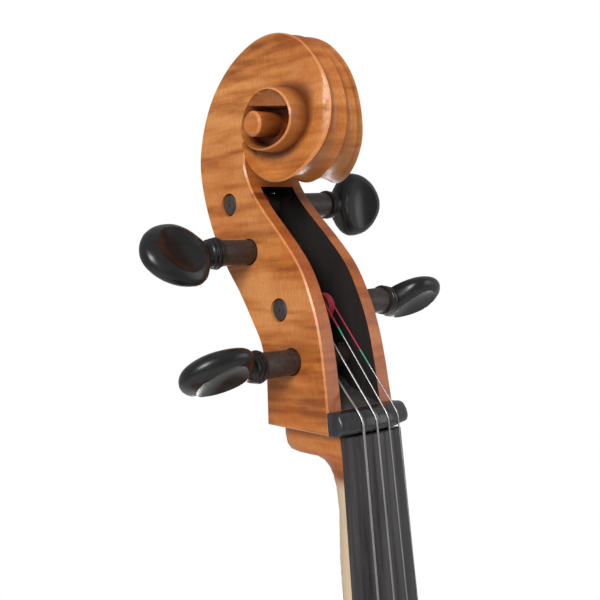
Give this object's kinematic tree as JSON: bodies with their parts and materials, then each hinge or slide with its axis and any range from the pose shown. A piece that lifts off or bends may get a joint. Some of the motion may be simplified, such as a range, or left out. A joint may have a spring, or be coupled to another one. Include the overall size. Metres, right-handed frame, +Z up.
{
  "type": "cello",
  "caption": "Full-size cello with arched plates, ribs, carved scroll, turning pegs, fingerboard, bridge, tailpiece with fine tuners and a sliding endpin.",
  "frame": {"origin": "where the endpin's rubber tip meets the floor, endpin pushed in", "axes": "+Z up along the body, belly towards -Y, bass side towards -X"},
  "size_m": [0.435, 0.2519, 1.2682],
  "materials": {
    "varnished_maple": "orange-brown oil varnish over flamed maple",
    "varnished_spruce": "orange-brown oil varnish over straight-grained spruce",
    "bare_maple": "polished bare maple",
    "bare_spruce": "bare spruce",
    "ebony": "dull oiled ebony",
    "peg_wood": "polished dark wood",
    "bridge_maple": "bare maple, waxed",
    "string_steel": "flat-wound steel",
    "nickel": "nickel plate",
    "red_silk": "wound silk thread",
    "rubber": "matt black",
    "tail_cord": "braided black cord"
  },
  "bodies": {
    "cello_body": {"top_plate": "varnished_spruce", "back_plate": "varnished_maple", "lower_rib_bass": "varnished_maple", "waist_rib_bass": "varnished_maple", "upper_rib_bass": "varnished_maple", "lower_rib_treble": "varnished_maple", "waist_rib_treble": "varnished_maple", "upper_rib_treble": "varnished_maple", "lower_lining_front_bass": "bare_spruce", "lower_lining_back_bass": "bare_spruce", "waist_lining_front_bass": "bare_spruce", "waist_lining_back_bass": "bare_spruce", "upper_lining_front_bass": "bare_spruce", "upper_lining_back_bass": "bare_spruce", "lower_lining_front_treble": "bare_spruce", "lower_lining_back_treble": "bare_spruce", "waist_lining_front_treble": "bare_spruce", "waist_lining_back_treble": "bare_spruce", "upper_lining_front_treble": "bare_spruce", "upper_lining_back_treble": "bare_spruce", "lower_corner_block_bass": "bare_spruce", "upper_corner_block_bass": "bare_spruce", "lower_corner_block_treble": "bare_spruce", "upper_corner_block_treble": "bare_spruce", "top_block": "bare_spruce", "bottom_block": "bare_spruce", "bass_bar": "bare_spruce", "sound_post": "bare_spruce", "saddle": "ebony", "bridge": "bridge_maple", "neck": "bare_maple", "fingerboard": "ebony", "nut": "ebony", "pegbox_and_scroll": "varnished_maple", "string_c": "string_steel", "string_g": "string_steel", "string_d": "string_steel", "string_a": "string_steel", "tailpiece": "ebony", "tail_cord": "tail_cord", "endpin_collar": "ebony"},
    "peg_c": {"peg_c": "peg_wood", "winding_c": "red_silk"},
    "peg_g": {"peg_g": "peg_wood", "winding_g": "red_silk"},
    "peg_d": {"peg_d": "peg_wood", "winding_d": "red_silk"},
    "peg_a": {"peg_a": "peg_wood", "winding_a": "red_silk"},
    "tuner_screw_c": {"tuner_screw_c": "nickel"},
    "tuner_lever_c": {"tuner_lever_c": "nickel"},
    "tuner_screw_g": {"tuner_screw_g": "nickel"},
    "tuner_lever_g": {"tuner_lever_g": "nickel"},
    "tuner_screw_d": {"tuner_screw_d": "nickel"},
    "tuner_lever_d": {"tuner_lever_d": "nickel"},
    "tuner_screw_a": {"tuner_screw_a": "nickel"},
    "tuner_lever_a": {"tuner_lever_a": "nickel"},
    "endpin": {"endpin_rod": "nickel", "endpin_tip": "rubber"},
    "thumb_screw": {"endpin_thumb_screw": "nickel"}
  },
  "joints": [
    {"name": "peg_c_turn", "type": "hinge", "parent": "cello_body", "child": "peg_c", "pos_m": [0, -0.00936, 1.10835], "axis": [1, 0, 0], "range_deg": [-1080, 90]},
    {"name": "peg_g_turn", "type": "hinge", "parent": "cello_body", "child": "peg_g", "pos_m": [0, 0.02607, 1.15944], "axis": [1, 0, 0], "range_deg": [-1080, 90]},
    {"name": "peg_d_turn", "type": "hinge", "parent": "cello_body", "child": "peg_d", "pos_m": [0, 0.04339, 1.18252], "axis": [1, 0, 0], "range_deg": [-1080, 90]},
    {"name": "peg_a_turn", "type": "hinge", "parent": "cello_body", "child": "peg_a", "pos_m": [0, 0.00154, 1.13245], "axis": [1, 0, 0], "range_deg": [-1080, 90]},
    {"name": "tuner_screw_c_turn", "type": "hinge", "parent": "cello_body", "child": "tuner_screw_c", "pos_m": [-0.02025, -0.12659, 0.24852], "axis": [0, -0.9596, -0.2814], "range_deg": [0, 1440]},
    {"name": "tuner_lever_c_tilt", "type": "hinge", "parent": "cello_body", "child": "tuner_lever_c", "pos_m": [-0.02025, -0.13102, 0.27431], "axis": [1, 0, 0], "range_deg": [0, 6.2]},
    {"name": "tuner_screw_g_turn", "type": "hinge", "parent": "cello_body", "child": "tuner_screw_g", "pos_m": [-0.00675, -0.12659, 0.24852], "axis": [0, -0.9596, -0.2814], "range_deg": [0, 1440]},
    {"name": "tuner_lever_g_tilt", "type": "hinge", "parent": "cello_body", "child": "tuner_lever_g", "pos_m": [-0.00675, -0.13102, 0.27431], "axis": [1, 0, 0], "range_deg": [0, 6.2]},
    {"name": "tuner_screw_d_turn", "type": "hinge", "parent": "cello_body", "child": "tuner_screw_d", "pos_m": [0.00675, -0.12659, 0.24852], "axis": [0, -0.9596, -0.2814], "range_deg": [0, 1440]},
    {"name": "tuner_lever_d_tilt", "type": "hinge", "parent": "cello_body", "child": "tuner_lever_d", "pos_m": [0.00675, -0.13102, 0.27431], "axis": [1, 0, 0], "range_deg": [0, 6.2]},
    {"name": "tuner_screw_a_turn", "type": "hinge", "parent": "cello_body", "child": "tuner_screw_a", "pos_m": [0.02025, -0.12659, 0.24852], "axis": [0, -0.9596, -0.2814], "range_deg": [0, 1440]},
    {"name": "tuner_lever_a_tilt", "type": "hinge", "parent": "cello_body", "child": "tuner_lever_a", "pos_m": [0.02025, -0.13102, 0.27431], "axis": [1, 0, 0], "range_deg": [0, 6.2]},
    {"name": "endpin_slide", "type": "slide", "parent": "cello_body", "child": "endpin", "axis": [0, 0, -1], "range_m": [0, 0.3]},
    {"name": "thumb_screw_turn", "type": "hinge", "parent": "cello_body", "child": "thumb_screw", "pos_m": [0, 0, 0.028], "axis": [1, 0, 0], "range_deg": [0, 720]}
  ],
  "couplings": [
    {"joint": "tuner_lever_c_tilt", "follows": "tuner_screw_c_turn", "ratio": 0.0041667},
    {"joint": "tuner_lever_g_tilt", "follows": "tuner_screw_g_turn", "ratio": 0.0041667},
    {"joint": "tuner_lever_d_tilt", "follows": "tuner_screw_d_turn", "ratio": 0.0041667},
    {"joint": "tuner_lever_a_tilt", "follows": "tuner_screw_a_turn", "ratio": 0.0041667}
  ]
}
